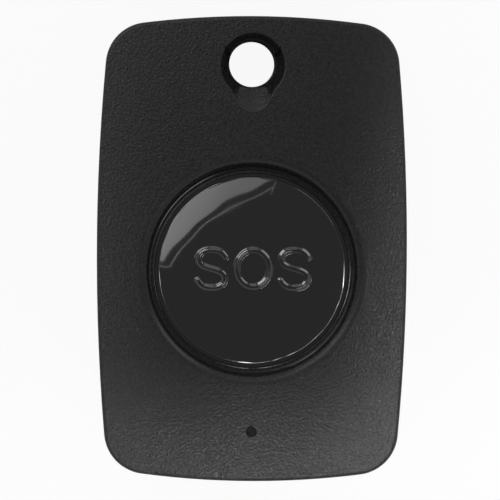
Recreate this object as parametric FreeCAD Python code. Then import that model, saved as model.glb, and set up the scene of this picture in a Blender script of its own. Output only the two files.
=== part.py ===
import FreeCAD, Part

import math
import os

# Wireless panic button, in millimetres.
# The fob lies on its flat rear face: +Z out of the front, +Y towards the lanyard hole.

# Case outline, seen from the front: four shallow arcs joined by four corner arcs
case_width = 40.0
case_height = 60.0
side_arc_radius = 277.0
end_arc_radius = 112.0
corner_radius = 5.5

# Case walls, with a front face crowned both ways
crown_across_radius = 120.0
crown_along_radius = 260.0
front_wall = 1.7
side_wall = 1.6
rear_wall = 1.6
front_edge_round = 0.5
rear_edge_round = 1.4
parting_height = 4.4
parting_groove = 0.2
guide_wall = 1.0
fence_wall = 0.8
fence_height = 1.2

# Tongue of the rear cover, with the seal that it presses into the front cover
tongue_inset = 0.9
tongue_height = 1.0
seal_height = 0.8
joint_gap = 0.1

# Button and the well that it sits in
button_y = -2.8
button_radius = 12.1
button_gap = 0.4
button_wall = 1.4
dome_radius = 60.0
button_edge_round = 0.2
flange_width = 1.3
flange_thickness = 1.0
flange_gap = 0.3
nib_radius = 1.6
nib_length = 0.4
button_rib = 0.8
press_travel = 0.3
ledge_depth = 1.8
ledge_width = 0.8
ledge_thickness = 1.2
well_taper = 28.0
lip_round = 1.4
ledge_dish = 0.06
ledge_edge_round = 0.12

# Rubber ring that lifts the button and seals the board
ring_width = 1.8
ring_foot = 0.5
ring_web = 0.5
ring_bead = 0.6
ring_bead_width = 1.1

# Lanyard hole with a bowl around it and a ramp that leads the loop down the front
hole_from_top = 6.1
front_hole_radius = 3.1
rear_hole_radius = 2.95
tube_wall = 1.4
tube_rib = 5.0
hole_round = 0.5
bowl_depth = 1.5
bowl_floor = 0.1
bowl_radius = 4.25
scoop_reach = 6.3
scoop_slope = 33.0
scoop_radius = 3.6
scoop_round = 0.2

# Screws from the rear, into bosses of the front cover
screw_from_side = 5.4
screw_from_end = 5.3
screw_radius = 1.0
screw_length = 5.5
screw_bite = 0.03
screw_end_space = 0.5
head_radius = 1.9
head_height = 1.4
head_recess = 0.4
head_gap = 0.2
head_round = 0.4
drive_width = 0.5
drive_reach = 1.1
drive_depth = 0.8
seat_web = 1.4
seat_wall = 0.8
shank_gap = 0.15
boss_radius = 2.2

# Circuit board and what locates it
board_thickness = 1.0
board_gap = 0.5
board_clearance = 0.4
post_from_side = 4.8
post_above_button = 12.4
post_below_button = 12.6
post_radius = 1.7
pin_radius = 0.75
pin_length = 0.8
pin_gap = 0.1

# Coin cell, its holder and its contacts
cell_y = -3.5
cell_radius = 10.0
cell_thickness = 3.2
cell_round = 0.7
cell_cap_radius = 8.8
cell_cap_height = 0.3
cell_lift = 0.5
cell_gap = 0.2
holder_wall = 1.1
holder_base = 0.4
holder_mouth = 13.0
contact_thickness = 0.2
contact_width = 4.0
contact_window = 6.0
tongue_reach = 7.5
leaf_length = 15.0

# Push switch
switch_size = 6.0
switch_height = 4.3
switch_base_height = 3.2
switch_corner = 0.6
plate_thickness = 0.25
plate_fold = 1.6
switch_cavity_radius = 2.3
switch_hole_radius = 1.85
plunger_radius = 1.7
plunger_flange = 0.45
plunger_flange_thickness = 0.4
plunger_round = 0.2
dome_height = 0.45
dome_sheet = 0.12
terminal_width = 0.7
terminal_thickness = 0.2
terminal_reach = 1.2
terminal_pitch = 4.5
terminal_height = 1.1

# Indicator lamp and the light guide behind its pinhole
led_from_bottom = 6.4
pinhole_radius = 0.7
guide_recess = 0.8
guide_gap = 0.1
guide_collar = 0.7
guide_collar_thickness = 0.7
guide_socket_wall = 0.8
led_length = 2.0
led_width = 1.25
led_base = 0.4
led_lens = 0.5
led_air = 0.3
led_chamfer = 0.12

# Parts soldered on the board. Places are x, y from the button, the lanyard hole or the lamp.
chip_spacing = 14.4
chip_length = 4.9
chip_width = 3.0
chip_height = 1.4
chip_standoff = 0.1
leads_a_side = 4
lead_pitch = 1.27
lead_width = 0.42
lead_thickness = 0.2
lead_reach = 0.9
crystal_from_hole = (8.6, -8.15)
crystal_size = (5.0, 3.2, 0.9)
crystal_base = 0.3
crystal_margin = 0.2
tantalum_from_lamp = (-8.5, 3.3)
tantalum_size = (3.5, 2.8, 1.8)
transistor_from_lamp = (8.2, 3.2)
transistor_size = (2.9, 1.3, 1.0)
resistor_size = (1.6, 0.8, 0.45)
resistors_from_button = [(-3.6, -7.0), (3.6, -7.0)]
resistors_from_lamp = [(3.2, 2.2)]
resistors_from_hole = [(12.9, -7.45)]
capacitor_size = (1.6, 0.8, 0.8)
capacitors_from_button = [(-4.2, 7.2), (4.2, 7.2), (0.0, -8.0)]
capacitors_from_lamp = [(-3.6, 3.2)]
capacitors_from_hole = [(12.9, -9.45)]
inductor_size = (2.0, 1.25, 0.9)
inductors_from_hole = [(-1.5, -7.2), (1.5, -7.2)]
end_cap = 0.3
end_cap_skin = 0.03
moulding_chamfer = 0.15

# Helical aerial
aerial_from_side = 9.6
aerial_below_hole = 7.35
aerial_radius = 1.1
aerial_pitch = 0.9
aerial_turns = 7
wire_radius = 0.2
aerial_lift = 0.2
leg_radius = 0.4

# Heights worked out from the stack: rear wall, cell, contact, holder, board, switch, nib, button
cell_bottom = rear_wall + cell_lift
cell_top = cell_bottom + cell_thickness
holder_bottom = cell_top + contact_thickness
board_bottom = holder_bottom + holder_base
board_top = board_bottom + board_thickness
plunger_top = board_top + switch_height
crown_top = plunger_top + nib_length + button_wall
ledge_top = crown_top - ledge_depth
flange_top = ledge_top - ledge_thickness
flange_bottom = flange_top - flange_thickness
seat_top = head_recess + head_height + seat_web
tongue_top = parting_height + tongue_height
seal_top = tongue_top + seal_height

# Radii and places worked out from what sits inside them
well_radius = button_radius + button_gap
ledge_radius = well_radius + ledge_width
flange_radius = button_radius + flange_width
guide_radius = flange_radius + flange_gap
tube_radius = front_hole_radius + tube_wall
bore_radius = cell_radius + cell_gap
holder_radius = bore_radius + holder_wall
hole_y = case_height / 2 - hole_from_top
led_y = led_from_bottom - case_height / 2
screw_x = case_width / 2 - screw_from_side
screw_y = case_height / 2 - screw_from_end
screw_places = [(x, y) for x in (-screw_x, screw_x) for y in (-screw_y, screw_y)]
post_x = case_width / 2 - post_from_side
post_rows = (button_y - post_below_button, button_y + post_above_button)
post_places = [(x, y) for x in (-post_x, post_x) for y in post_rows]

# How far cutting tools run past the walls, and how near a point must be to count as on a face
past = 1.0
near = 1e-3


def placed(offsets, y):
    """Places on the board, from offsets measured at a point on its middle line."""
    return [(x, y + above) for x, above in offsets]


def cylinder(radius, low, high, x=0.0, y=0.0):
    """An upright cylinder between two heights."""
    return Part.makeCylinder(radius, high - low, FreeCAD.Vector(x, y, low))


def block(length, width, low, high, x=0.0, y=0.0):
    """A block between two heights, centred on x, y."""
    corner = FreeCAD.Vector(x - length / 2, y - width / 2, low)
    return Part.makeBox(length, width, high - low, corner)


def bar(start_x, end_x, width, low, high, y):
    """A block between two places along X and two heights, centred on y."""
    return block(abs(end_x - start_x), width, low, high, (start_x + end_x) / 2, y)


def turned(profile, x=0.0, y=0.0):
    """A closed profile of radius and height, turned about the upright axis at x, y."""
    points = [FreeCAD.Vector(x + radius, y, height) for radius, height in profile]
    face = Part.Face(Part.makePolygon(points + points[:1]))
    return face.revolve(FreeCAD.Vector(x, y, 0), FreeCAD.Vector(0, 0, 1), 360)


def joined(shapes):
    """One solid out of shapes that overlap or meet."""
    shapes = list(shapes)
    whole = shapes[0].fuse(shapes[1:]) if len(shapes) > 1 else shapes[0]
    return whole.removeSplitter()


def group(shapes):
    """Separate solids kept together under one name."""
    return Part.makeCompound([solid for shape in shapes for solid in shape.Solids])


def edges_where(shape, test):
    """The edges whose middle point passes the test."""
    found = []
    for edge in shape.Edges:
        middle = edge.valueAt((edge.FirstParameter + edge.LastParameter) / 2)
        if test(middle):
            found.append(edge)
    return found


def edges_at(shape, height):
    """The edges that lie at one height."""
    return edges_where(shape, lambda at: abs(at.z - height) < near)


def upright_edges(shape):
    """The edges that run straight up."""
    found = []
    for edge in shape.Edges:
        low, high = edge.Vertexes[0].Point, edge.Vertexes[-1].Point
        if math.hypot(high.x - low.x, high.y - low.y) < near < abs(high.z - low.z):
            found.append(edge)
    return found


def corner_centre():
    """Centre of the corner arc that is tangent inside both the side arc and the end arc."""
    side_x = case_width / 2 - side_arc_radius
    end_y = case_height / 2 - end_arc_radius
    from_side = side_arc_radius - corner_radius
    from_end = end_arc_radius - corner_radius
    apart = math.hypot(side_x, end_y)
    along = (from_side**2 - from_end**2 + apart**2) / (2 * apart)
    off = math.sqrt(from_side**2 - along**2)
    to_end = (-side_x / apart, end_y / apart)
    return (
        side_x + along * to_end[0] - off * to_end[1],
        along * to_end[1] + off * to_end[0],
    )


def outline(inset, height):
    """The case outline moved inwards by inset, as a closed wire of eight arcs."""
    corner_x, corner_y = corner_centre()
    side_x = case_width / 2 - side_arc_radius
    end_y = case_height / 2 - end_arc_radius
    side_turn = math.atan2(corner_y, corner_x - side_x)
    end_turn = math.atan2(corner_y - end_y, corner_x)
    middle_turn = (side_turn + end_turn) / 2
    radius = corner_radius - inset
    side_point = (corner_x + radius * math.cos(side_turn), corner_y + radius * math.sin(side_turn))
    end_point = (corner_x + radius * math.cos(end_turn), corner_y + radius * math.sin(end_turn))
    corner_point = (
        corner_x + radius * math.cos(middle_turn),
        corner_y + radius * math.sin(middle_turn),
    )
    side_middle = (case_width / 2 - inset, 0.0)
    end_middle = (0.0, case_height / 2 - inset)
    quarter = [side_middle, side_point, corner_point, end_point, end_middle]
    upper = quarter + [(-x, y) for x, y in reversed(quarter[:-1])]
    whole = upper + [(x, -y) for x, y in reversed(upper[1:-1])]
    around = whole[-1:] + whole
    points = [FreeCAD.Vector(x, y, height) for x, y in around]
    arcs = [Part.Arc(*points[i : i + 3]).toShape() for i in range(0, len(points) - 2, 2)]
    return Part.Wire(arcs)


def prism(inset, low, high):
    """The case outline, moved inwards by inset, raised between two heights."""
    return Part.Face(outline(inset, low)).extrude(FreeCAD.Vector(0, 0, high - low))


def frame(outer_inset, inner_inset, low, high):
    """A band that follows the case outline, between two insets and two heights."""
    return prism(outer_inset, low, high).cut(prism(inner_inset, low - past, high + past))


def crown(inset):
    """Everything under the crowned front surface, moved inwards by inset."""
    top = crown_top - inset
    across = crown_across_radius - inset
    along = crown_along_radius - inset
    reach = case_width
    edge = top - across + math.sqrt(across**2 - reach**2)
    left, right = FreeCAD.Vector(-reach, 0, edge), FreeCAD.Vector(reach, 0, edge)
    low_left, low_right = FreeCAD.Vector(-reach, 0, -reach), FreeCAD.Vector(reach, 0, -reach)
    arc = Part.Arc(left, FreeCAD.Vector(0, 0, top), right).toShape()
    sides = Part.makePolygon([right, low_right, low_left, left])
    face = Part.Face(Part.Wire([arc] + sides.Edges))
    axis_point = FreeCAD.Vector(0, 0, top - along)
    across_axis = FreeCAD.Vector(1, 0, 0)
    half_turn = math.degrees(math.asin(case_height / along))
    face.rotate(axis_point, across_axis, -half_turn)
    return face.revolve(axis_point, across_axis, 2 * half_turn)


def crown_height(x, y):
    """Height of the crowned front surface above the point x, y."""
    section = crown_top - crown_across_radius + math.sqrt(crown_across_radius**2 - x**2)
    axis_height = crown_top - crown_along_radius
    return axis_height + math.sqrt((section - axis_height) ** 2 - y**2)


def on_front(at):
    """Whether a point lies on the crowned front surface."""
    return abs(at.z - crown_height(at.x, at.y)) < near


def well_tool():
    """The space above the ledge: dished along the ledge, with a wall that opens towards the front."""
    high = crown_top + past
    open_radius = ledge_radius + (high - ledge_top) * math.tan(math.radians(well_taper))
    profile = [
        (well_radius, ledge_top),
        ((well_radius + ledge_radius) / 2, ledge_top - ledge_dish),
        (ledge_radius, ledge_top),
        (open_radius, high),
        (0, high),
        (0, ledge_top),
    ]
    points = [FreeCAD.Vector(radius, button_y, height) for radius, height in profile]
    dish = Part.Arc(*points[:3]).toShape()
    rest = Part.makePolygon(points[2:] + points[:1])
    face = Part.Face(Part.Wire([dish] + rest.Edges))
    return face.revolve(FreeCAD.Vector(0, button_y, 0), FreeCAD.Vector(0, 0, 1), 360)


def ramp_tool():
    """A sloping round bar that cuts the ramp: it leaves the front face below the lanyard hole."""
    slope = math.radians(scoop_slope)
    tip_y = hole_y - scoop_reach
    tip = FreeCAD.Vector(0, tip_y, crown_height(0, tip_y))
    up_slope = FreeCAD.Vector(0, -math.cos(slope), math.sin(slope))
    off_slope = FreeCAD.Vector(0, math.sin(slope), math.cos(slope))
    buried = scoop_reach / math.cos(slope)
    start = tip - up_slope * buried + off_slope * scoop_radius
    return Part.makeCylinder(scoop_radius, buried + case_width / 2, start, up_slope)


def bowl_tool():
    """The bowl around the lanyard hole, with a wall that leans outwards to the front."""
    surface = crown_height(0, hole_y)
    floor_radius = front_hole_radius + bowl_floor
    floor = surface - bowl_depth
    high = surface + past
    open_radius = bowl_radius + (bowl_radius - floor_radius) * past / bowl_depth
    profile = [(0, floor), (floor_radius, floor), (open_radius, high), (0, high)]
    return turned(profile, 0, hole_y)


def front_hole_tool():
    """The lanyard hole in the front cover, with the mould's draft: it widens towards the bowl."""
    low = parting_height - past
    floor = crown_height(0, hole_y) - bowl_depth
    profile = [
        (0, low),
        (rear_hole_radius, low),
        (rear_hole_radius, parting_height),
        (front_hole_radius, floor),
        (front_hole_radius, floor + past),
        (0, floor + past),
    ]
    return turned(profile, 0, hole_y)


def front_shell():
    """The hollow front with its crown and its rounded front edge."""
    outer = prism(0, parting_height, crown_top + past).common(crown(0))
    outer = outer.makeFillet(front_edge_round, edges_where(outer, on_front))
    outer = outer.makeChamfer(parting_groove, edges_at(outer, parting_height))
    inner = prism(side_wall, parting_height - past, crown_top + past).common(crown(front_wall))
    return outer.cut(inner)


def front_cover():
    """Front cover: shell, button well and guide, lanyard tube, screw bosses, posts and lamp socket."""
    high = crown_top + past
    guide_bottom = flange_bottom - press_travel - flange_gap
    additions = [cylinder(guide_radius + guide_wall, guide_bottom, high, 0, button_y)]
    additions.append(cylinder(tube_radius, parting_height, high, 0, hole_y))
    additions.append(block(tube_rib, hole_from_top, seal_top, high, 0, hole_y + hole_from_top / 2))
    for x, y in screw_places:
        additions.append(cylinder(boss_radius, seat_top, high, x, y))
    for x, y in post_places:
        additions.append(cylinder(post_radius, board_top, high, x, y))
    collar_radius = pinhole_radius + guide_collar + guide_gap
    socket_top = crown_height(0, led_y) - front_wall
    socket_low = socket_top - guide_collar_thickness - guide_recess
    additions.append(cylinder(collar_radius + guide_socket_wall, socket_low, high, 0, led_y))
    within_walls = prism(side_wall / 2, 0, high).common(crown(front_wall / 2))
    additions = [addition.common(within_walls) for addition in additions]

    cuts = [well_tool(), bowl_tool(), ramp_tool(), front_hole_tool()]
    cuts.append(frame(tongue_inset - joint_gap, side_wall, 0, seal_top))
    cuts.append(cylinder(well_radius, 0, high, 0, button_y))
    cuts.append(cylinder(guide_radius, 0, flange_top, 0, button_y))
    cuts.append(cylinder(pinhole_radius, 0, high, 0, led_y))
    cuts.append(cylinder(collar_radius, 0, socket_top, 0, led_y))
    pilot_top = head_recess + head_height + screw_length + screw_end_space
    for x, y in screw_places:
        cuts.append(cylinder(screw_radius + screw_bite, 0, pilot_top, x, y))
    shell = joined([front_shell()] + additions).cut(cuts)
    return rounded_front(shell)


def rounded_front(shell):
    """The lip and ledge of the well and the rim of the scoop, rounded."""
    def from_button(at):
        return math.hypot(at.x, at.y - button_y)

    def ledge_edge(at):
        return abs(at.z - ledge_top) < near and abs(from_button(at) - well_radius) < near

    def lip(at):
        return on_front(at) and ledge_radius < from_button(at) < ledge_radius + ledge_depth

    def scoop_rim(at):
        above_hole = at.y - hole_y
        beside_hole = math.hypot(at.x, above_hole) < scoop_reach
        return on_front(at) and beside_hole and above_hole < bowl_radius + past

    shell = shell.makeFillet(ledge_edge_round, edges_where(shell, ledge_edge))
    shell = shell.makeFillet(lip_round, edges_where(shell, lip))
    return shell.makeFillet(scoop_round, edges_where(shell, scoop_rim))


def rear_cover():
    """Rear cover: tray with tongue, lanyard collar, screw seats, board posts and cell fence."""
    tray = prism(0, 0, parting_height)
    tray = tray.makeFillet(rear_edge_round, edges_at(tray, 0))
    tray = tray.makeChamfer(parting_groove, edges_at(tray, parting_height))
    tray = tray.cut(prism(side_wall, rear_wall, parting_height + past))
    additions = [frame(tongue_inset, side_wall, parting_height - past, tongue_top)]
    additions.append(cylinder(tube_radius, rear_wall / 2, parting_height, 0, hole_y))
    rib_y = hole_y + hole_from_top / 2
    additions.append(block(tube_rib, hole_from_top, rear_wall / 2, parting_height, 0, rib_y))
    recess_radius = head_radius + head_gap
    for x, y in screw_places:
        additions.append(cylinder(recess_radius + seat_wall, rear_wall / 2, seat_top, x, y))
    for x, y in post_places:
        additions.append(cylinder(post_radius, rear_wall / 2, board_bottom, x, y))
        additions.append(cylinder(pin_radius, board_bottom, board_bottom + pin_length, x, y))
    fence_radius = holder_radius + board_clearance
    fence = cylinder(fence_radius + fence_wall, rear_wall / 2, rear_wall + fence_height, 0, cell_y)
    additions.append(fence.cut(cylinder(fence_radius, 0, parting_height, 0, cell_y)))
    within_walls = prism(tongue_inset, 0, board_top)
    cover = joined([tray] + [addition.common(within_walls) for addition in additions])

    cuts = [cylinder(rear_hole_radius, -past, parting_height + past, 0, hole_y)]
    for x, y in screw_places:
        cuts.append(cylinder(recess_radius, -past, head_recess + head_height, x, y))
        cuts.append(cylinder(screw_radius + shank_gap, -past, seat_top + past, x, y))
    cover = cover.cut(cuts)

    def hole_rim(at):
        from_hole = math.hypot(at.x, at.y - hole_y)
        return abs(at.z) < near and abs(from_hole - rear_hole_radius) < near

    return cover.makeFillet(hole_round, edges_where(cover, hole_rim))


def dome(radius, top):
    """Everything under a shallow dome that is highest over the button's middle."""
    return Part.makeSphere(radius, FreeCAD.Vector(0, button_y, top - radius))


def button_cap():
    """Button: domed cap with a flange under the ledge, stiffening ribs and a nib on the switch."""
    body = cylinder(button_radius, flange_bottom, crown_top, 0, button_y)
    body = body.common(dome(dome_radius, crown_top))
    rim = edges_where(body, lambda at: at.z > flange_top and abs(at.x) > button_radius - near)
    body = body.makeFillet(button_edge_round, rim)
    flange = cylinder(flange_radius, flange_bottom, flange_top, 0, button_y)
    cap_under = crown_top - button_wall
    hollow = cylinder(button_radius - button_wall, flange_bottom - past, crown_top, 0, button_y)
    hollow = hollow.common(dome(dome_radius - button_wall, cap_under))
    span = 2 * button_radius - button_wall
    rib_low = plunger_top - press_travel
    inside = dome(dome_radius, crown_top - button_wall / 2)
    ribs = [
        block(span, button_rib, rib_low, crown_top, 0, button_y).common(inside),
        block(button_rib, span, rib_low, crown_top, 0, button_y).common(inside),
    ]
    well = cylinder(nib_radius + button_rib, rib_low - past, plunger_top, 0, button_y)
    nib = cylinder(nib_radius, plunger_top, cap_under + button_wall / 2, 0, button_y)
    return joined([joined([body, flange]).cut(hollow)] + [rib.cut(well) for rib in ribs] + [nib])


def button_ring():
    """Rubber ring between board and button: a foot, a thin leaning web and a bead at the top."""
    inner = flange_radius - ring_width
    outer = flange_radius
    foot_top = board_top + ring_foot
    bead_low = flange_bottom - ring_bead
    bead_inner = outer - ring_bead_width
    profile = [
        (inner, board_top),
        (outer, board_top),
        (outer, foot_top),
        (inner + 2 * ring_web, foot_top),
        (bead_inner + ring_web, bead_low),
        (outer, bead_low),
        (outer, flange_bottom),
        (bead_inner, flange_bottom),
        (bead_inner, bead_low),
        (inner + ring_web, foot_top),
        (inner, foot_top),
    ]
    return turned(profile, 0, button_y)


def case_seal():
    """Rubber seal on the tongue, pressed against the front cover."""
    return frame(tongue_inset, side_wall, tongue_top, seal_top)


def case_screw(x, y):
    """Self-tapping screw: rounded head with a cross recess, plain shank and point."""
    head_top = head_recess + head_height
    head = cylinder(head_radius, head_recess, head_top, x, y)
    head = head.makeFillet(head_round, edges_at(head, head_recess))
    shank_end = head_top + screw_length
    point = shank_end - screw_radius
    profile = [(0, head_top), (screw_radius, head_top), (screw_radius, point), (0, shank_end)]
    shank = turned(profile, x, y)
    drive_top = head_recess + drive_depth
    recess = [
        block(2 * drive_reach, drive_width, head_recess, drive_top, x, y),
        block(drive_width, 2 * drive_reach, head_recess, drive_top, x, y),
    ]
    return joined([head, shank]).cut(recess)


def case_screws():
    """The four case screws."""
    return group(case_screw(x, y) for x, y in screw_places)


def circuit_board():
    """Board that follows the case, cut back round the lanyard tube and the screw bosses."""
    board = prism(side_wall + board_gap, board_bottom, board_top)
    reach = case_height / 2
    notch = tube_radius + board_clearance
    cuts = [cylinder(notch, 0, crown_top, 0, hole_y)]
    cuts.append(block(2 * notch, reach, 0, crown_top, 0, hole_y + reach / 2))
    corner = boss_radius + board_clearance
    for x, y in screw_places:
        cuts.append(cylinder(corner, 0, crown_top, x, y))
        out_x, out_y = math.copysign(corner, x), math.copysign(corner, y)
        cuts.append(block(2 * corner, 4 * corner, 0, crown_top, x, y + 2 * out_y))
        cuts.append(block(4 * corner, 2 * corner, 0, crown_top, x + 2 * out_x, y))
    for x, y in post_places:
        cuts.append(cylinder(pin_radius + pin_gap, 0, crown_top, x, y))
    return board.cut(cuts).removeSplitter()


def coin_cell():
    """Coin cell: can with rounded foot, crimped shoulder and the smaller negative cap."""
    can_top = cell_top - cell_cap_height
    can = cylinder(cell_radius, cell_bottom, can_top, 0, cell_y)
    can = can.makeFillet(cell_round, edges_at(can, cell_bottom))
    can = can.makeFillet(cell_cap_height, edges_at(can, can_top))
    return joined([can, cylinder(cell_cap_radius, can_top, cell_top, 0, cell_y)])


def battery_holder():
    """Moulded holder under the board: base, wall round the cell, open mouth and contact window."""
    body = cylinder(holder_radius, cell_bottom, board_bottom, 0, cell_y)
    body = body.cut(cylinder(bore_radius, 0, holder_bottom, 0, cell_y))
    reach = 2 * holder_radius
    mouth = block(holder_mouth, reach, 0, holder_bottom, 0, cell_y - reach / 2)
    window = block(reach, contact_window, 0, board_bottom + past, -reach / 2, cell_y)
    window = window.cut(cylinder(bore_radius, 0, board_bottom + past, 0, cell_y))
    centre = cylinder(contact_width / 2, 0, board_bottom + past, 0, cell_y)
    return body.cut([mouth, window, centre])


def positive_contact():
    """Sprung strap: soldered foot, leg beside the cell, and tongue across the can."""
    inner_x = -bore_radius
    outer_x = inner_x - contact_thickness
    low = cell_bottom - contact_thickness
    foot_low = board_bottom - contact_thickness
    foot = bar(outer_x - holder_wall, inner_x, contact_width, foot_low, board_bottom, cell_y)
    leg = bar(outer_x, inner_x, contact_width, low, board_bottom, cell_y)
    tongue = bar(outer_x, outer_x + tongue_reach, contact_width, low, cell_bottom, cell_y)
    return joined([foot, leg, tongue])


def negative_contact():
    """Flat leaf on the cell's cap, with a tail through the holder to the board."""
    leaf = block(leaf_length, contact_width, cell_top, holder_bottom, 0, cell_y)
    tail = cylinder(contact_width / 2 - cell_gap, holder_bottom, board_bottom, 0, cell_y)
    return joined([leaf, tail])


def switch_base():
    """Moulded base of the switch, with a round cavity for dome and plunger."""
    top = board_top + switch_base_height
    base = block(switch_size, switch_size, board_top, top, 0, button_y)
    base = base.makeChamfer(switch_corner, upright_edges(base))
    return base.cut(cylinder(switch_cavity_radius, dome_floor(), top + past, 0, button_y))


def dome_floor():
    """Height of the cavity floor: under the plate, the plunger's flange and the dome."""
    return board_top + switch_base_height - plunger_flange_thickness - dome_height


def switch_plate():
    """Steel plate that keeps the plunger in, folded down two sides of the base."""
    low = board_top + switch_base_height
    plate = block(switch_size, switch_size, low, low + plate_thickness, 0, button_y)
    plate = plate.makeChamfer(switch_corner, upright_edges(plate))
    plate = plate.cut(cylinder(switch_hole_radius, 0, crown_top, 0, button_y))
    side_width = switch_size - 2 * switch_corner
    side_x = (switch_size + plate_thickness) / 2
    sides = []
    for x in (-side_x, side_x):
        drop = low - plate_fold
        sides.append(block(plate_thickness, side_width, drop, low + plate_thickness, x, button_y))
    return joined([plate] + sides)


def switch_plunger():
    """Plunger: round stem with a flange under the plate."""
    low = dome_floor() + dome_height
    flange_radius_wide = plunger_radius + plunger_flange
    flange = cylinder(flange_radius_wide, low, low + plunger_flange_thickness, 0, button_y)
    stem = cylinder(plunger_radius, low, plunger_top, 0, button_y)
    stem = stem.makeFillet(plunger_round, edges_at(stem, plunger_top))
    return joined([flange, stem])


def switch_dome():
    """Snap dome: a shallow cap of thin spring sheet."""
    floor = dome_floor()
    rim = plunger_radius + plunger_flange
    radius = (rim**2 + dome_height**2) / (2 * dome_height)
    centre = floor + dome_height - radius
    outside = Part.makeSphere(radius, FreeCAD.Vector(0, button_y, centre))
    inside = Part.makeSphere(radius - dome_sheet, FreeCAD.Vector(0, button_y, centre))
    return outside.cut(inside).common(cylinder(rim, floor, crown_top, 0, button_y))


def switch_terminals():
    """Four flat terminals, bent down to the board on both sides of the switch."""
    terminals = []
    leg_top = board_top + terminal_height
    for side in (-1, 1):
        leg_y = button_y + side * (switch_size + terminal_thickness) / 2
        foot_y = button_y + side * (switch_size + terminal_reach) / 2
        for x in (-terminal_pitch / 2, terminal_pitch / 2):
            leg = block(terminal_width, terminal_thickness, board_top, leg_top, x, leg_y)
            foot_top = board_top + terminal_thickness
            foot = block(terminal_width, terminal_reach, board_top, foot_top, x, foot_y)
            terminals.append(joined([leg, foot]))
    return group(terminals)


def light_guide():
    """Clear guide behind the pinhole: rod with a collar that seats under the front wall."""
    seat = crown_height(0, led_y) - front_wall
    top = crown_height(0, led_y) - guide_recess
    low = board_top + led_base + led_lens + led_air
    rod = cylinder(pinhole_radius - guide_gap, low, top, 0, led_y)
    collar = cylinder(pinhole_radius + guide_collar, seat - guide_collar_thickness, seat, 0, led_y)
    return joined([rod, collar])


def indicator_led():
    """Surface-mounted lamp: flat base with two end pads and a moulded lens."""
    base = block(led_length, led_width, board_top, board_top + led_base, 0, led_y)
    lens_top = board_top + led_base + led_lens
    lens = block(led_length - 2 * end_cap, led_width, board_top + led_base, lens_top, 0, led_y)
    lens = lens.makeChamfer(led_chamfer, edges_at(lens, lens_top))
    return joined([base, lens])


def chip(x, y):
    """Moulded chip with four bent leads down each long side."""
    low = board_top + chip_standoff
    body = block(chip_width, chip_length, low, low + chip_height, x, y)
    body = body.makeChamfer(moulding_chamfer, edges_at(body, low + chip_height))
    shoulder = low + chip_height / 2
    foot_top = board_top + lead_thickness
    pieces = [body]
    for side in (-1, 1):
        edge_x = x + side * chip_width / 2
        knee_x = edge_x + side * lead_reach / 2
        leg_x = knee_x - side * lead_thickness
        tip_x = edge_x + side * lead_reach
        for lead in range(leads_a_side):
            lead_y = y + (lead - (leads_a_side - 1) / 2) * lead_pitch
            pieces.append(bar(edge_x, knee_x, lead_width, shoulder - lead_thickness, shoulder, lead_y))
            pieces.append(bar(leg_x, knee_x, lead_width, board_top, shoulder, lead_y))
            pieces.append(bar(leg_x, tip_x, lead_width, board_top, foot_top, lead_y))
    return joined(pieces)


def radio_crystal():
    """Crystal: ceramic base under a smaller metal lid."""
    length, width, height = crystal_size
    x, y = placed([crystal_from_hole], hole_y)[0]
    base = block(length, width, board_top, board_top + crystal_base, x, y)
    lid_length = length - 2 * crystal_margin
    lid_width = width - 2 * crystal_margin
    lid = block(lid_length, lid_width, board_top + crystal_base, board_top + height, x, y)
    lid = lid.makeFillet(crystal_margin, upright_edges(lid))
    return joined([base, lid])


def chamfered_body(size, place):
    """A small moulded body on the board, with its top edges chamfered."""
    length, width, height = size
    top = board_top + height
    body = block(length, width, board_top, top, *place)
    return body.makeChamfer(moulding_chamfer, edges_at(body, top))


def transistor():
    """Small transistor: moulded body with two legs on one side and one on the other."""
    length, width, height = transistor_size
    x, y = placed([transistor_from_lamp], led_y)[0]
    pieces = [chamfered_body(transistor_size, (x, y))]
    for leg_x, side in ((-length / 3, -1), (length / 3, -1), (0.0, 1)):
        leg_y = y + side * (width + lead_reach) / 2
        foot_top = board_top + lead_thickness
        pieces.append(block(lead_width, lead_reach, board_top, foot_top, x + leg_x, leg_y))
    return joined(pieces)


def end_capped(size, places):
    """Chip parts with a metal cap round each end, a little fatter than the body."""
    length, width, height = size
    body_low = board_top + end_cap_skin
    top = board_top + height
    parts = []
    for x, y in places:
        body = block(length - end_cap, width - 2 * end_cap_skin, body_low, top - end_cap_skin, x, y)
        caps = []
        for side in (-1, 1):
            caps.append(block(end_cap, width, board_top, top, x + side * (length - end_cap) / 2, y))
        parts.append(joined([body] + caps))
    return group(parts)


def antenna_coil():
    """Helical aerial lying across the board, with a leg at each end that goes into the board."""
    x, y = aerial_from_side - case_width / 2, hole_y - aerial_below_hole
    height = aerial_pitch * aerial_turns
    axis_height = board_top + aerial_lift + wire_radius + aerial_radius
    helix = Part.makeHelix(aerial_pitch, height, aerial_radius)
    start, along = FreeCAD.Vector(aerial_radius, 0, 0), FreeCAD.Vector(0, 1, 0)
    section = Part.Wire(Part.makeCircle(wire_radius, start, along))
    coil = Part.Wire(helix.Edges).makePipeShell([section], True, True)
    coil.rotate(FreeCAD.Vector(0, 0, 0), FreeCAD.Vector(0, 1, 0), 90)
    coil.translate(FreeCAD.Vector(x - height / 2, y, axis_height))
    leg_top = axis_height - aerial_radius + leg_radius
    legs = []
    for end in (-1, 1):
        legs.append(cylinder(leg_radius, board_top, leg_top, x + end * height / 2, y))
    return joined([coil] + legs)


def save(name, shape):
    """Write one part under its own name."""
    shape.exportStep("parts/" + name + ".step")


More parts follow.
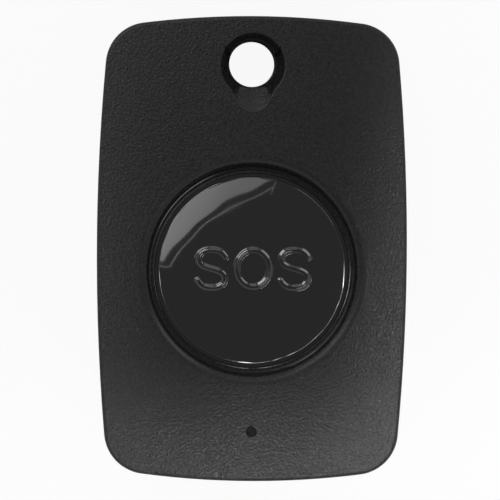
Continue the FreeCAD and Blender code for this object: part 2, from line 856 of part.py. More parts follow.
os.makedirs("parts", exist_ok=True)
save("front_cover", front_cover())
save("rear_cover", rear_cover())
save("case_seal", case_seal())
save("case_screws", case_screws())
save("button_cap", button_cap())
save("button_ring", button_ring())
save("light_guide", light_guide())
save("circuit_board", circuit_board())
save("coin_cell", coin_cell())
save("battery_holder", battery_holder())
save("positive_contact", positive_contact())
save("negative_contact", negative_contact())
save("switch_base", switch_base())
save("switch_plate", switch_plate())
save("switch_plunger", switch_plunger())
save("switch_dome", switch_dome())
save("switch_terminals", switch_terminals())
save("indicator_led", indicator_led())
save("radio_chip", chip(-chip_spacing / 2, button_y))
save("controller_chip", chip(chip_spacing / 2, button_y))
save("radio_crystal", radio_crystal())
save("tantalum_capacitor", chamfered_body(tantalum_size, placed([tantalum_from_lamp], led_y)[0]))
save("transistor", transistor())
resistor_places = placed(resistors_from_button, button_y)
resistor_places += placed(resistors_from_lamp, led_y) + placed(resistors_from_hole, hole_y)
save("chip_resistors", end_capped(resistor_size, resistor_places))
capacitor_places = placed(capacitors_from_button, button_y)
capacitor_places += placed(capacitors_from_lamp, led_y) + placed(capacitors_from_hole, hole_y)
save("chip_capacitors", end_capped(capacitor_size, capacitor_places))
save("chip_inductors", end_capped(inductor_size, placed(inductors_from_hole, hole_y)))
save("antenna_coil", antenna_coil())
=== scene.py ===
import math

import bpy
import numpy as np
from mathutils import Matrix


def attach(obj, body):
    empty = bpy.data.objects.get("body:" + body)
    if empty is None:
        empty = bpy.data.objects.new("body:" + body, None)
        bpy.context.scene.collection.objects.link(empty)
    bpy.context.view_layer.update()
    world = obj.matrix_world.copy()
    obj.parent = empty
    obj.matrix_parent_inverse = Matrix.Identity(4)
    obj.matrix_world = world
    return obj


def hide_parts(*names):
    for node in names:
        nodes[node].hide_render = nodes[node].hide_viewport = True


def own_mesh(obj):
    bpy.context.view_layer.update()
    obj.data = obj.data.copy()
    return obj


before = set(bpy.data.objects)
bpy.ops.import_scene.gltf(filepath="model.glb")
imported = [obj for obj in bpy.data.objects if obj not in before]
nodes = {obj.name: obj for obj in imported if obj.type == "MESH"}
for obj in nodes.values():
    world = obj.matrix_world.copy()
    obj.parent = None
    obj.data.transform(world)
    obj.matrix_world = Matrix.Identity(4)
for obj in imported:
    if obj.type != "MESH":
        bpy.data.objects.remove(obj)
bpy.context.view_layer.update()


# Rear cover: the flat tray that carries everything else, with four screw recesses and the
# collar of the lanyard hole. Injection moulded in black plastic in a mould with a fine
# leather grain. The front cover's grain comes from the same effect.

mm = 0.001


def material_with(name, **sockets):
    """A material with one Principled BSDF. Sockets are set by name, with _ for a space."""
    material = bpy.data.materials.new(name)
    material.use_nodes = True
    shader = material.node_tree.nodes["Principled BSDF"]
    for socket, value in sockets.items():
        shader.inputs[socket.replace("_", " ")].default_value = value
    return material, material.node_tree, shader


def add(tree, kind, inputs=(), **settings):
    """A node in a tree. An input that is another node's output is linked, a value is set."""
    node = tree.nodes.new("ShaderNode" + kind)
    for key, value in settings.items():
        setattr(node, key, value)
    for key, value in dict(inputs).items():
        if isinstance(value, bpy.types.NodeSocket):
            tree.links.new(value, node.inputs[key])
        else:
            node.inputs[key].default_value = value
    return node


def worked(tree, operation, *values):
    """The output of a Math node with these values or outputs put in, in order."""
    return add(tree, "Math", dict(enumerate(values)), operation=operation).outputs[0]


def effect(name, inputs, outputs):
    """An empty node group for an effect that several materials share. Vector comes first."""
    tree = bpy.data.node_groups.new(name, "ShaderNodeTree")
    tree.interface.new_socket("Vector", in_out="INPUT", socket_type="NodeSocketVector")
    for socket, value in inputs.items():
        made = tree.interface.new_socket(socket, in_out="INPUT", socket_type="NodeSocketFloat")
        made.default_value = value
    for socket in outputs:
        tree.interface.new_socket(socket, in_out="OUTPUT", socket_type="NodeSocketFloat")
    return tree, tree.nodes.new("NodeGroupInput").outputs, tree.nodes.new("NodeGroupOutput").inputs


def placed(tree, group, **values):
    """An effect placed in a material, on Object coordinates, with the material's own values."""
    where = add(tree, "TexCoord").outputs["Object"]
    node = tree.nodes.new("ShaderNodeGroup")
    node.node_tree = group
    tree.links.new(where, node.inputs["Vector"])
    for key, value in values.items():
        node.inputs[key].default_value = value
    return node.outputs


# Leather grain: rounded bumps of even size, with small pebbles between them, from the distance
# to scattered points. The tops are worn a little smoother than the valleys.
grain, given, made = effect("leather_grain", {"Scale": 3000.0, "Valleys": 0.5, "Tops": 0.3},
                            ["Height", "Roughness"])
# The field is turned, or its layers would show as contour lines on the nearly level cover.
turned = add(grain, "Mapping", {"Vector": given["Vector"], "Rotation": (0.7, 0.5, 0.3)}).outputs[0]
pebbles = add(grain, "TexVoronoi", {"Vector": turned, "Scale": given["Scale"], "Smoothness": 0.35},
              feature="SMOOTH_F1")
bumps = add(grain, "TexNoise", {"Vector": turned, "Scale": given["Scale"], "Detail": 1.0})
round_tops = worked(grain, "MULTIPLY", pebbles.outputs["Distance"], -0.35)
raised = worked(grain, "ADD", bumps.outputs["Fac"], round_tops)
grain.links.new(raised, made["Height"])
worn = add(grain, "MapRange", {"Value": raised, "From Min": 0.22, "From Max": 0.52, "To Min": given["Valleys"],
                               "To Max": given["Tops"]}).outputs[0]
grain.links.new(worn, made["Roughness"])

# Patches: slow changes between a low and a high value, such as in gloss or tone.
patches, given, made = effect("soft_patches", {"Scale": 200.0, "Low": 0.4, "High": 0.6}, ["Value"])
noise = add(patches, "TexNoise", {"Vector": given["Vector"], "Scale": given["Scale"], "Detail": 3.0})
spread = add(patches, "MapRange", {"Value": noise.outputs["Fac"], "From Min": 0.3, "From Max": 0.7,
                                   "To Min": given["Low"], "To Max": given["High"]})
patches.links.new(spread.outputs[0], made["Value"])

case_black = (0.0190, 0.0190, 0.0197, 1.0)
case_grain = {"Scale": 3300.0, "Valleys": 0.48, "Tops": 0.32}
case_grain_depth = 0.08
case_tones = {"Scale": 2900.0, "Low": 0.010, "High": 0.030}


def bumped(tree, shader, height, depth):
    """Feeds a height into the shader's normal, as relief of a depth in millimetres."""
    bump = add(tree, "Bump", {"Height": height, "Distance": depth * mm, "Strength": 1.0})
    tree.links.new(bump.outputs[0], shader.inputs["Normal"])


def dress(material, *names):
    """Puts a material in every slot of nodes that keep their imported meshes."""
    for name in names:
        for slot in nodes[name].material_slots:
            slot.material = material


rear_plastic, tree, shader = material_with("rear_cover_plastic", Base_Color=case_black)
skin = placed(tree, grain, **case_grain)
tree.links.new(skin["Roughness"], shader.inputs["Roughness"])
tree.links.new(placed(tree, patches, **case_tones)["Value"], shader.inputs["Base Color"])
bumped(tree, shader, skin["Height"], case_grain_depth)
dress(rear_plastic, "rear_cover")


# Case seal: a thin rubber ring in the rabbet between the two covers, cut from soft black
# rubber. The button's ring, lower in this file, is the same rubber.

def rubber(name, tone):
    """Soft black rubber: nearly matt, with a fine bloom that varies its gloss."""
    made, tree, shader = material_with(name, Base_Color=(tone, tone, tone * 1.06, 1.0))
    tree.links.new(placed(tree, patches, Scale=700.0, Low=0.62, High=0.82)["Value"], shader.inputs["Roughness"])
    bumped(tree, shader, placed(tree, patches, Scale=4200.0, Low=0.0, High=1.0)["Value"], 0.006)
    return made


dress(rubber("seal_rubber", 0.032), "case_seal")


# Circuit board: 1 mm glass laminate under green solder mask, with tracks under the mask and
# tinned pads. It stands on the front cover's four posts.

# Tracks: thin lines that run across in some cells and along in others, with round pads between.
tracks, given, made = effect("board_tracks", {"Pitch": 0.6 * mm, "Cell": 2.4 * mm}, ["Track", "Pad"])
parts = add(tracks, "SeparateXYZ", {0: given["Vector"]}).outputs
snapped = [worked(tracks, "SNAP", parts[i], given["Cell"]) for i in (0, 1)]
cell = add(tracks, "CombineXYZ", {0: snapped[0], 1: snapped[1]}).outputs[0]
turned = worked(tracks, "GREATER_THAN", add(tracks, "TexWhiteNoise", {"Vector": cell}).outputs["Value"], 0.5)
ways = [worked(tracks, "ABSOLUTE", worked(tracks, "SUBTRACT", worked(
    tracks, "FRACT", worked(tracks, "DIVIDE", parts[i], given["Pitch"])), 0.5)) for i in (0, 1)]
picked = add(tracks, "Mix", {"Factor": turned, "A": ways[0], "B": ways[1]}).outputs["Result"]
tracks.links.new(worked(tracks, "LESS_THAN", picked, 0.16), made["Track"])
dots = add(tracks, "TexVoronoi", {"Vector": given["Vector"], "Scale": 420.0, "Randomness": 0.7})
tracks.links.new(worked(tracks, "LESS_THAN", dots.outputs["Distance"], 0.13), made["Pad"])

laminate, tree, shader = material_with("board_laminate", Coat_Weight=0.35, Coat_Roughness=0.15, Roughness=0.38)
found = placed(tree, tracks)
green = add(tree, "Mix", {"Factor": found["Track"], "A": (0.012, 0.105, 0.036, 1.0),
                          "B": (0.028, 0.185, 0.062, 1.0)}, data_type="RGBA").outputs["Result"]
tinned = add(tree, "Mix", {"Factor": found["Pad"], "A": green, "B": (0.62, 0.60, 0.56, 1.0)}, data_type="RGBA")
tree.links.new(tinned.outputs["Result"], shader.inputs["Base Color"])
tree.links.new(found["Pad"], shader.inputs["Metallic"])
bumped(tree, shader, worked(tree, "ADD", found["Track"], found["Pad"]), 0.03)
dress(laminate, "circuit_board")


# The small parts soldered to the board: two moulded chips and a transistor, a crystal in a
# tinned can, a yellow tantalum capacitor, fired ceramic chips, a resin lamp and a wound aerial.

def moulded(name, colour, low, high, scale=1400.0, depth=0.008, **sockets):
    """Moulded or fired material: one colour, a gloss that varies in patches and a fine skin."""
    made, tree, shader = material_with(name, Base_Color=colour, **sockets)
    tree.links.new(placed(tree, patches, Scale=scale, Low=low, High=high)["Value"], shader.inputs["Roughness"])
    bumped(tree, shader, placed(tree, patches, Scale=5.0 * scale, Low=0.0, High=1.0)["Value"], depth)
    return made


def drawn_metal(name, colour, low, high, stretch=(1.0, 12.0, 1.0)):
    """Plated or drawn metal: fine lines along one way, which vary the gloss and the surface."""
    made, tree, shader = material_with(name, Base_Color=colour, Metallic=1.0)
    where = add(tree, "TexCoord").outputs["Object"]
    turned = add(tree, "Mapping", {"Vector": where, "Scale": stretch}).outputs[0]
    lines = add(tree, "TexNoise", {"Vector": turned, "Scale": 900.0, "Detail": 3.0}).outputs["Fac"]
    gloss = add(tree, "MapRange", {"Value": lines, "From Min": 0.3, "From Max": 0.7, "To Min": low,
                                   "To Max": high}).outputs[0]
    tree.links.new(gloss, shader.inputs["Roughness"])
    bumped(tree, shader, lines, 0.003)
    return made


tin = drawn_metal("tin_plate", (0.62, 0.62, 0.64, 1.0), 0.22, 0.36)
dress(moulded("chip_resin", (0.018, 0.018, 0.020, 1.0), 0.5, 0.66), "controller_chip", "radio_chip", "transistor")
dress(moulded("tantalum_resin", (0.62, 0.36, 0.05, 1.0), 0.42, 0.55), "tantalum_capacitor")
dress(moulded("resistor_glaze", (0.02, 0.02, 0.026, 1.0), 0.25, 0.4), "chip_resistors")
dress(moulded("capacitor_ceramic", (0.42, 0.29, 0.17, 1.0), 0.5, 0.62), "chip_capacitors")
dress(moulded("inductor_ceramic", (0.24, 0.25, 0.27, 1.0), 0.45, 0.6), "chip_inductors")
dress(moulded("lamp_resin", (0.78, 0.74, 0.58, 1.0), 0.2, 0.3, Subsurface_Weight=0.3), "indicator_led")
dress(tin, "radio_crystal")
dress(drawn_metal("enamelled_copper", (0.62, 0.27, 0.12, 1.0), 0.2, 0.34, (12.0, 1.0, 12.0)), "antenna_coil")


# Cell holder and its contacts: a moulded black cup under the board and two nickel-plated
# spring strips. The coin cell is a drawn steel can, plated, turned face down in the cup.

dress(moulded("holder_plastic", (0.03, 0.03, 0.034, 1.0), 0.45, 0.6), "battery_holder")
dress(drawn_metal("contact_metal", (0.66, 0.63, 0.56, 1.0), 0.2, 0.32), "positive_contact", "negative_contact",
      "switch_dome")
cell_y = -3.5
cell_can, tree, shader = material_with("cell_steel", Base_Color=(0.64, 0.64, 0.65, 1.0), Metallic=1.0)
where = add(tree, "TexCoord").outputs["Object"]
centred = add(tree, "Mapping", {"Vector": where, "Location": (0.0, -cell_y * mm, 0.0)}).outputs[0]
rings = add(tree, "TexWave", {"Vector": centred, "Scale": 1500.0, "Distortion": 3.0, "Detail": 3.0},
            wave_type="RINGS", rings_direction="Z").outputs["Fac"]
turning = add(tree, "MapRange", {"Value": rings, "To Min": 0.2, "To Max": 0.36}).outputs[0]
tree.links.new(turning, shader.inputs["Roughness"])
bumped(tree, shader, rings, 0.002)
dress(cell_can, "coin_cell")


# Push switch: a moulded base with a snap dome, a black plunger and a tinned cover plate
# folded over it. In use the plunger moves with the button and the dome snaps through under
# it; here the dome only gets a mesh of its own.

dress(moulded("switch_plastic", (0.02, 0.02, 0.02, 1.0), 0.4, 0.55), "switch_base", "switch_plunger")
dress(tin, "switch_plate", "switch_terminals")
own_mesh(nodes["switch_dome"])


# Button ring: a rubber ring under the button's flange. It lifts the button back and keeps
# it from rattling.

dress(rubber("ring_rubber", 0.034), "button_ring")
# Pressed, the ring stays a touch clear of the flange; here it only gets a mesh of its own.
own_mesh(nodes["button_ring"])


# Button cap: a domed cap, put in from behind, with a flange that the front cover's ledge
# holds back. Moulded in black plastic in a polished mould, with three raised letters. Four
# ribs and the nib that meets the switch's plunger stand on its underside.

button_y = -2.8
button_radius = 12.1
dome_radius = 60.0
dome_top = 13.0
edge_round = 0.2
flange_radius, flange_top, flange_bottom = 13.4, 10.0, 9.0
hollow_radius, cap_wall = 10.7, 1.4
nib_radius, nib_bottom = 1.6, 11.2
rib_half, rib_bottom, rib_start, rib_end = 0.4, 10.9, 2.4, 9.6
letter_height, letter_half = 0.21, 0.5
o_middle, o_across, o_along = (0.14, 0.22), 2.10, 2.36
s_middles = [(-5.2, 0.15), (5.46, 0.19)]
s_half = [(0.0, 0.0), (-0.80, 0.25), (-1.48, 0.68), (-1.68, 1.32), (-1.36, 2.02), (0.0, 2.42), (1.25, 2.12),
          (1.78, 1.50)]
grid_lines = 251


def squared_disc(columns, rows):
    """Points of the unit disc on a square grid: each square ring of the grid becomes a circle.
    The larger of the two coordinates is the radius, the smaller one sets the angle in its quarter."""
    a, b = np.meshgrid(columns, rows)
    wide = np.abs(a) > np.abs(b)
    radius = np.where(wide, a, b)
    share = np.where(wide, b, a) / np.where(radius == 0.0, 1.0, radius)
    angle = np.where(wide, share, 2.0 - share) * math.pi / 4
    return radius * np.cos(angle), radius * np.sin(angle)


def spline_through(points, steps):
    """A smooth line through points: the cubic whose second slope is continuous and is nil at both
    ends, with the distance along the chords as its parameter."""
    points = np.array(points)
    gaps = np.linalg.norm(np.diff(points, axis=0), axis=1)
    at = np.concatenate([[0.0], np.cumsum(gaps)])
    inner = np.diag(2 * (gaps[:-1] + gaps[1:])) + np.diag(gaps[1:-1], 1) + np.diag(gaps[1:-1], -1)
    slopes = np.diff(points, axis=0) / gaps[:, None]
    bends = np.zeros_like(points)
    bends[1:-1] = np.linalg.solve(inner, 6 * np.diff(slopes, axis=0))
    want = np.linspace(0.0, at[-1], steps)
    k = np.clip(np.searchsorted(at, want, side="right") - 1, 0, len(gaps) - 1)
    before, after, gap = (want - at[k])[:, None], (at[k + 1] - want)[:, None], gaps[k][:, None]
    return ((bends[k] * after ** 3 + bends[k + 1] * before ** 3) / (6 * gap)
            + (points[k] / gap - bends[k] * gap / 6) * after
            + (points[k + 1] / gap - bends[k + 1] * gap / 6) * before)


def ridge(x, y, line):
    """Height of a rounded ridge along a line: H (1 - q²)², where q is the distance to the line
    over the ridge's half width, and nil past it."""
    close = ((x > line[:, 0].min() - letter_half) & (x < line[:, 0].max() + letter_half)
             & (y > line[:, 1].min() - letter_half) & (y < line[:, 1].max() + letter_half))
    here = np.stack([x[close], y[close]], axis=1)[:, None, :]
    start, way = line[None, :-1], np.diff(line, axis=0)[None]
    along = np.clip(((here - start) * way).sum(2) / (way ** 2).sum(2), 0.0, 1.0)
    distance = np.linalg.norm(here - start - along[..., None] * way, axis=2).min(axis=1)
    height = np.zeros_like(x)
    height[close] = letter_height * (1 - np.minimum(distance / letter_half, 1.0) ** 2) ** 2
    return height


def dome(radius):
    """Height of the dome at a distance from the button's axis: a sphere through its top."""
    return dome_top - dome_radius + np.sqrt(dome_radius ** 2 - radius ** 2)


def grid_faces(rows, columns, first=0):
    """Four-cornered faces of a grid of points numbered row by row from first."""
    corner = first + np.arange(rows - 1)[:, None] * columns + np.arange(columns - 1)[None]
    return np.stack([corner, corner + 1, corner + columns + 1, corner + columns], axis=-1).reshape(-1, 4)


def ring_faces(loops):
    """Four-cornered faces between closed loops, given as rows of point numbers that go round
    anticlockwise seen from above, from the top loop down the outside."""
    upper, lower = loops[:-1], loops[1:]
    return np.stack([upper, lower, np.roll(lower, -1, 1), np.roll(upper, -1, 1)], axis=-1).reshape(-1, 4)


def surface(name, points, *face_sets, sharp=30.0):
    """A mesh object in the scene from points in millimetres and arrays of faces, smooth except
    at edges sharper than an angle in degrees."""
    mesh = bpy.data.meshes.new(name)
    mesh.vertices.add(len(points))
    mesh.vertices.foreach_set("co", (np.asarray(points) * mm).ravel())
    corners = np.concatenate([faces.ravel() for faces in face_sets])
    sizes = np.concatenate([np.full(len(faces), faces.shape[1]) for faces in face_sets])
    mesh.loops.add(len(corners))
    mesh.loops.foreach_set("vertex_index", corners)
    mesh.polygons.add(len(sizes))
    mesh.polygons.foreach_set("loop_start", np.concatenate([[0], np.cumsum(sizes)[:-1]]))
    mesh.update(calc_edges=True)
    mesh.shade_smooth()
    mesh.set_sharp_from_angle(angle=math.radians(sharp))
    made = bpy.data.objects.new(name, mesh)
    bpy.context.scene.collection.objects.link(made)
    return made


# The top: a grid over the disc inside the rounded edge, with closer lines over the letters.
tangent_radius = (button_radius - edge_round) * dome_radius / (dome_radius - edge_round)
t = np.linspace(-1.0, 1.0, grid_lines)
across, along = squared_disc(t * (0.75 + 0.25 * t ** 2), t * (0.55 + 0.45 * t ** 2))
x, y = across.ravel() * tangent_radius, along.ravel() * tangent_radius
s_top = spline_through(s_half, 60)
s_line = np.concatenate([-s_top[:0:-1], s_top])
turn = np.linspace(0.0, 2 * math.pi, 121)
o_line = np.stack([o_across * np.cos(turn), o_along * np.sin(turn)], axis=1) + o_middle
letters = ridge(x, y, o_line) + sum(ridge(x, y, s_line + middle) for middle in s_middles)
# A moulded dome is never quite true: it waves by a few thousandths of a millimetre.
waves = 0.0028 * np.sin(1.15 * x - 0.7 * y + 0.6) + 0.0022 * np.sin(0.55 * x + 1.35 * y + 2.1)
top = np.stack([x, y, dome(np.hypot(x, y)) + letters + waves], axis=1)

# The rest: loops from the grid's edge round the rounded edge, the wall, the flange and the
# hollow, to the nib's rim, and a point at the nib's middle.
numbers = np.arange(grid_lines ** 2).reshape(grid_lines, grid_lines)
rim = np.concatenate([numbers[0, :-1], numbers[:-1, -1], numbers[-1, :0:-1], numbers[:0:-1, 0]])
lean = np.linspace(math.asin(tangent_radius / dome_radius), math.pi / 2, 8)[1:]
round_middle = dome(tangent_radius) - edge_round * math.cos(math.asin(tangent_radius / dome_radius))
under = np.linspace(hollow_radius, nib_radius, 6)
under_height = dome_top - dome_radius + np.sqrt((dome_radius - cap_wall) ** 2 - under ** 2)
break_edge = 0.12
profile = np.array(
    [(button_radius - edge_round + edge_round * math.sin(a), round_middle + edge_round * math.cos(a)) for a in lean]
    + [(button_radius, flange_top), (flange_radius - break_edge, flange_top),
       (flange_radius, flange_top - break_edge), (flange_radius, flange_bottom + break_edge),
       (flange_radius - break_edge, flange_bottom), (hollow_radius + break_edge, flange_bottom),
       (hollow_radius, flange_bottom + break_edge)]
    + list(zip(under, under_height))
    + [(nib_radius, nib_bottom + break_edge), (nib_radius - break_edge, nib_bottom)])
direction = np.arctan2(y[rim], x[rim])
loops = np.stack([profile[:, :1] * np.cos(direction), profile[:, :1] * np.sin(direction),
                  np.repeat(profile[:, 1:], len(rim), axis=1)], axis=-1)
first = len(top)
loop_numbers = np.vstack([rim, first + np.arange(loops.shape[0] * len(rim)).reshape(loops.shape[0], -1)])
middle = first + loops.shape[0] * len(rim)
last_loop = loop_numbers[-1]
nib_face = np.stack([np.roll(last_loop, -1), last_loop, np.full_like(last_loop, middle)], axis=1)
cap_points = [top, loops.reshape(-1, 3), [(0.0, 0.0, nib_bottom)]]
cap_faces = [grid_faces(grid_lines, grid_lines), ring_faces(loop_numbers)]

# Ribs: four bars, each a section with broken lower edges carried from the nib to the wall.
section = np.array([(-rib_half, 11.7), (-rib_half, rib_bottom + break_edge), (break_edge - rib_half, rib_bottom),
                    (rib_half - break_edge, rib_bottom), (rib_half, rib_bottom + break_edge), (rib_half, 11.7)])
rib_count = 4
bar = len(section)
for quarter in range(rib_count):
    a = quarter * math.pi / 2
    out, side = np.array([math.cos(a), math.sin(a)]), np.array([-math.sin(a), math.cos(a)])
    ends = []
    for radius in (rib_start, rib_end):
        height = np.minimum(section[:, 1], dome(radius) - 0.5 * cap_wall)
        ends.append(np.column_stack([radius * out + section[:, :1] * side, height]))
    first = sum(len(points) for points in cap_points)
    cap_points += ends
    near_end, far_end = first + np.arange(bar), first + bar + np.arange(bar)
    sides = np.stack([near_end, np.roll(near_end, -1), np.roll(far_end, -1), far_end], axis=1)
    cap_faces += [sides, near_end[None, ::-1], far_end[None]]

cap_points = np.concatenate(cap_points) + (0.0, button_y, 0.0)
button_cap = surface("button_cap_shell", cap_points, *cap_faces, nib_face)

gloss, tree, shader = material_with("button_plastic", Base_Color=(0.0100, 0.0100, 0.0107, 1.0), IOR=1.6,
                                    Specular_IOR_Level=1.0, Coat_Weight=1.0, Coat_Roughness=0.03)
tree.links.new(placed(tree, patches, Scale=160.0, Low=0.035, High=0.06)["Value"], shader.inputs["Roughness"])
button_cap.data.materials.append(gloss)
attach(button_cap, "button")
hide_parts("button_cap")


# Light guide: a clear moulded pin behind the front cover's pinhole, over the lamp.

guide_plastic, tree, shader = material_with("clear_plastic", Base_Color=(0.9, 0.91, 0.93, 1.0),
                                            Transmission_Weight=1.0, IOR=1.49)
tree.links.new(placed(tree, patches, Scale=900.0, Low=0.08, High=0.2)["Value"], shader.inputs["Roughness"])
dress(guide_plastic, "light_guide")


# Front cover: the crowned shell with the button's stepped well, the teardrop scoop of the
# lanyard hole and the pinhole. The outside is grained, the well's wall and lip are satin, and
# the ledge and the bowl of the scoop are plain, as cut and polished in the mould.

crown_across, crown_along, crown_top = 120.0, 260.0, 13.0
grained_to, plain_from = 0.10, 0.30
inside_x, inside_y = 17.0, 28.8
hole_y, ramp_half, ramp_far = 23.9, 3.9, 6.6
ramp_near, ramp_bow, ramp_ragged = 3.1, 0.19, 0.8
ledge_middle, ledge_half, ledge_top, ledge_dip, well_reach = 12.9, 0.4, 11.2, 0.04, 16.0

front_plastic, tree, shader = material_with("front_cover_plastic", Base_Color=case_black)
place = add(tree, "SeparateXYZ", {0: add(tree, "TexCoord").outputs["Object"]}).outputs
in_mm = [worked(tree, "DIVIDE", place[i], mm) for i in range(3)]
squares = [worked(tree, "MULTIPLY", in_mm[i], in_mm[i]) for i in range(2)]
across = worked(tree, "MULTIPLY_ADD", squares[0], 0.5 / crown_across, in_mm[2])
sunk = worked(tree, "SUBTRACT", crown_top, worked(tree, "MULTIPLY_ADD", squares[1], 0.5 / crown_along, across))
near_crown = add(tree, "MapRange", {"Value": sunk, "From Min": grained_to, "From Max": plain_from,
                                    "To Min": 1.0, "To Max": 0.0}, interpolation_type="SMOOTHSTEP").outputs[0]
aside = [worked(tree, "ABSOLUTE", in_mm[i]) for i in range(2)]
outside = worked(tree, "MAXIMUM", worked(tree, "GREATER_THAN", aside[0], inside_x),
                 worked(tree, "GREATER_THAN", aside[1], inside_y))
# The ramp's floor is grained too, up to a ragged line just below the hole.
below_hole = worked(tree, "SUBTRACT", hole_y, in_mm[1])
ragged = worked(tree, "MULTIPLY_ADD", placed(tree, patches, Scale=2200.0, Low=-0.5, High=0.5)["Value"], ramp_ragged,
                worked(tree, "MULTIPLY_ADD", squares[0], -ramp_bow, below_hole))
on_ramp = worked(tree, "MULTIPLY", worked(tree, "GREATER_THAN", ragged, ramp_near), worked(
    tree, "MULTIPLY", worked(tree, "LESS_THAN", below_hole, ramp_far), worked(
        tree, "LESS_THAN", aside[0], ramp_half)))
grained = worked(tree, "MAXIMUM", worked(tree, "MAXIMUM", near_crown, outside), on_ramp)
skin = placed(tree, grain, **case_grain)
height = worked(tree, "MULTIPLY", skin["Height"], grained)
satin = placed(tree, patches, Scale=260.0, Low=0.23, High=0.25)["Value"]
plain = placed(tree, patches, Scale=260.0, Low=0.13, High=0.17)["Value"]
# The satin of the well's wall and lip ends at the ledge, which dips a little in its middle.
from_axis = worked(tree, "SQRT", worked(tree, "ADD", squares[0], worked(
    tree, "POWER", worked(tree, "SUBTRACT", in_mm[1], button_y), 2.0)))
off_middle = worked(tree, "MULTIPLY", worked(tree, "SUBTRACT", from_axis, ledge_middle), 1.0 / ledge_half)
dip = worked(tree, "MINIMUM", worked(tree, "MULTIPLY", off_middle, off_middle), 1.0)
in_well = worked(tree, "MULTIPLY", worked(tree, "GREATER_THAN", off_middle, 1.0),
                 worked(tree, "GREATER_THAN", in_mm[2], ledge_top))
in_well = worked(tree, "MULTIPLY", in_well, worked(tree, "LESS_THAN", from_axis, well_reach))
smooth = add(tree, "Mix", {"Factor": in_well, "A": plain, "B": satin}).outputs["Result"]
rough = add(tree, "Mix", {"Factor": grained, "A": smooth, "B": skin["Roughness"]}).outputs["Result"]
tree.links.new(rough, shader.inputs["Roughness"])
tree.links.new(placed(tree, patches, **case_tones)["Value"], shader.inputs["Base Color"])
relief = worked(tree, "MULTIPLY_ADD", dip, ledge_dip / case_grain_depth, height)
bumped(tree, shader, relief, case_grain_depth)
dress(front_plastic, "front_cover")


# Case screws: four self-tapping screws, turned from steel wire and zinc plated, put in from
# the rear.

dress(drawn_metal("screw_steel", (0.40, 0.40, 0.42, 1.0), 0.24, 0.4), "case_screws")


# Floor, lights and camera: white paper, a softbox at the upper left that the dome mirrors as
# a crescent, soft panels round it, lamps with grids close to the case, and a long lens
# straight above.

floor_half = 3.0
corners = [(-floor_half, -floor_half, 0), (floor_half, -floor_half, 0),
           (floor_half, floor_half, 0), (-floor_half, floor_half, 0)]
floor_mesh = bpy.data.meshes.new("floor")
floor_mesh.from_pydata(corners, [], [(0, 1, 2, 3)])
floor = bpy.data.objects.new("floor", floor_mesh)
bpy.context.scene.collection.objects.link(floor)
floor.location.z = -0.00002
paper, tree, shader = material_with("paper", Base_Color=(0.86, 0.86, 0.86, 1.0), Roughness=0.9)
rays = add(tree, "LightPath").outputs
seen = worked(tree, "MAXIMUM", rays["Is Camera Ray"], rays["Is Transmission Ray"])
glow = add(tree, "Emission", {"Color": (1, 1, 1, 1), "Strength": 1.0})
mixed = add(tree, "MixShader", {0: worked(tree, "MULTIPLY", seen, 0.93), 1: shader.outputs[0], 2: glow.outputs[0]})
tree.links.new(mixed.outputs[0], tree.nodes["Material Output"].inputs["Surface"])
floor_mesh.materials.append(paper)

world = bpy.data.worlds.new("studio")
bpy.context.scene.world = world
world.use_nodes = True
tree = world.node_tree
rays = add(tree, "LightPath").outputs
# The studio is dim overhead and pale near the horizon. The camera sees it white.
pale, dim = 0.62, 0.11
upward = add(tree, "SeparateXYZ", {0: add(tree, "TexCoord").outputs["Generated"]}).outputs[2]
band = add(tree, "MapRange", {"Value": upward, "From Min": 0.1, "From Max": 0.65, "To Min": pale, "To Max": dim})
level = add(tree, "MapRange", {"Value": rays["Is Camera Ray"], "To Min": band.outputs[0], "To Max": 1.0})
back = tree.nodes["Background"]
back.inputs["Color"].default_value = (1, 1, 1, 1)
tree.links.new(level.outputs[0], back.inputs["Strength"])

aim = (0.0, -0.003, 0.012)


def panel(name, azimuth, polar, distance, width, height, radiance, target=aim, spread=180.0):
    """A soft light panel that faces a target on the fob. Its width runs sideways, its height away
    from the zenith. A spread in degrees under 180 is a grid in front of it: the radiance is that
    of its axis, and it fades to nothing at half the spread."""
    light = bpy.data.lights.new(name, "AREA")
    light.shape = "RECTANGLE"
    light.size, light.size_y = width, height
    light.spread = math.radians(spread)
    half = math.radians(spread) / 2
    passed = 1.0 - half / math.tan(half) if spread < 180.0 else 1.0
    light.energy = radiance * math.pi * width * height * passed
    made = bpy.data.objects.new(name, light)
    bpy.context.scene.collection.objects.link(made)
    a, p = math.radians(azimuth), math.radians(polar)
    out = (math.sin(p) * math.cos(a), math.sin(p) * math.sin(a), math.cos(p))
    made.location = [target[i] + distance * out[i] for i in range(3)]
    made.rotation_euler = (p, 0.0, a + math.pi / 2)
    made.visible_camera = False


# Softbox: a sheet bent round the fob, one metre away. Its inner edge keeps its distance from
# the zenith in the middle and runs out at both ends. A slit of light goes round it.
box_azimuth, box_spread = 124.5, 49.0
box_inner, box_run_out, box_skew, box_outer = 17.8, 4.6, 3.0, 27.0
slit_gap, slit_width = 1.7, 0.36


def bent_sheet(azimuths, inner, outer, steps):
    """Points one metre from the aim, by azimuth and by the angle from the zenith, in degrees,
    which goes from inner to outer in steps."""
    share = np.linspace(0.0, 1.0, steps)[:, None]
    polar = np.radians(inner + (outer - inner) * share)
    azimuth = np.radians(azimuths)[None] + 0.0 * polar
    return np.stack([np.sin(polar) * np.cos(azimuth), np.sin(polar) * np.sin(azimuth), np.cos(polar)], axis=-1)


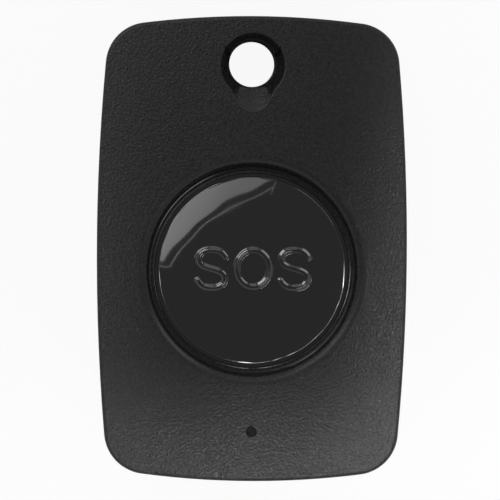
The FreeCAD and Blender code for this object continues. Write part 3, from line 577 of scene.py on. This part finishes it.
swing = np.linspace(-1.0, 1.0, 49)
inner_edge = box_inner + box_run_out * swing ** 2 + box_skew * np.maximum(-0.45 - swing, 0.0)
end_swing = 1.0 + 3.0 / box_spread
sheets = [bent_sheet(box_azimuth + box_spread * swing, inner_edge, box_outer + 0.0 * swing, 13),
          bent_sheet(box_azimuth + box_spread * end_swing * swing, inner_edge - slit_gap - slit_width,
                     inner_edge - slit_gap, 2)]
for end in (-1.0, 1.0):
    slit = box_azimuth + end * (box_spread * end_swing + np.array([0.0, 0.6]))
    sheets.append(bent_sheet(slit, box_inner + box_run_out - slit_gap + np.zeros(2), box_outer + np.zeros(2), 2))
box_points, box_faces = [], []
for sheet in sheets:
    box_faces.append(grid_faces(sheet.shape[0], sheet.shape[1], sum(len(part) for part in box_points)))
    box_points.append(sheet.reshape(-1, 3))
softbox = surface("softbox", (np.concatenate(box_points) + aim) / mm, *box_faces)
cloth = bpy.data.materials.new("softbox_cloth")
cloth.use_nodes = True
cloth.node_tree.nodes.remove(cloth.node_tree.nodes["Principled BSDF"])
# The cloth is brightest round the lamp behind it, towards the outer edge and the left end.
tree = cloth.node_tree
where = add(tree, "TexCoord").outputs["Object"]
lamp_side, lamp_glow, cloth_glow = math.radians(150.0), 9.6, 0.68
near_lamp = add(tree, "VectorMath", {0: where, 1: (math.cos(lamp_side), math.sin(lamp_side), 0.0)},
                operation="DOT_PRODUCT").outputs["Value"]
glow = worked(tree, "MULTIPLY_ADD", worked(tree, "POWER", near_lamp, 3.0), lamp_glow, cloth_glow)
light = add(tree, "Emission", {"Color": (1, 1, 1, 1), "Strength": glow})
tree.links.new(light.outputs[0], tree.nodes["Material Output"].inputs["Surface"])
softbox.data.materials.append(cloth)
softbox.visible_camera = False
softbox.visible_shadow = False

panel("key", 130.0, 50.0, 1.0, 0.55, 0.4, 2.5)
panel("top", 88.0, 53.0, 1.0, 0.4, 0.22, 0.7)
panel("upper_right", 45.0, 62.0, 1.0, 0.5, 0.4, 0.9)
panel("right", 350.0, 35.0, 1.0, 0.4, 0.14, 0.6)
panel("lower_right", 315.0, 35.0, 1.0, 0.4, 0.14, 4.0)

# Lamps with grids, close over the fob's lower end and its sides. Their beams pass the button,
# and the case grows lighter towards the lower right in them. Each row gives the azimuth, the
# angle from the zenith, the width, the target, the radiance and the grid's spread.
grid_distance, grid_height = 0.06, 0.034
grid_lamps = [
    (272.0, 24.0, 0.12, (0.0, -0.0375, 0.010), 27.0, 22.0),
    (300.0, 24.0, 0.12, (0.018, -0.0375, 0.010), 2.0, 22.0),
    (350.0, 25.0, 0.09, (0.0345, -0.003, 0.010), 32.0, 18.0),
    (190.0, 26.0, 0.10, (-0.0350, 0.0, 0.010), 13.0, 18.0),
]
for azimuth, polar, width, target, radiance, opening in grid_lamps:
    panel("grid_lamp", azimuth, polar, grid_distance, width, grid_height, radiance, target, opening)

camera_data = bpy.data.cameras.new("camera")
camera = bpy.data.objects.new("camera", camera_data)
bpy.context.scene.collection.objects.link(camera)
bpy.context.scene.camera = camera
camera_distance = 1.27
camera_data.sensor_width = 36.0
camera_data.lens = 702.8
camera_data.clip_start, camera_data.clip_end = 0.1, 10.0
tilt, roll = math.radians(1.0), math.radians(0.27)
frame_middle = (-0.00006, -0.00029)
camera.location = (frame_middle[0] - camera_distance * math.sin(tilt), frame_middle[1],
                   camera_distance * math.cos(tilt))
camera.rotation_euler = (0.0, -tilt, roll)

bpy.context.scene.view_settings.view_transform = "Standard"
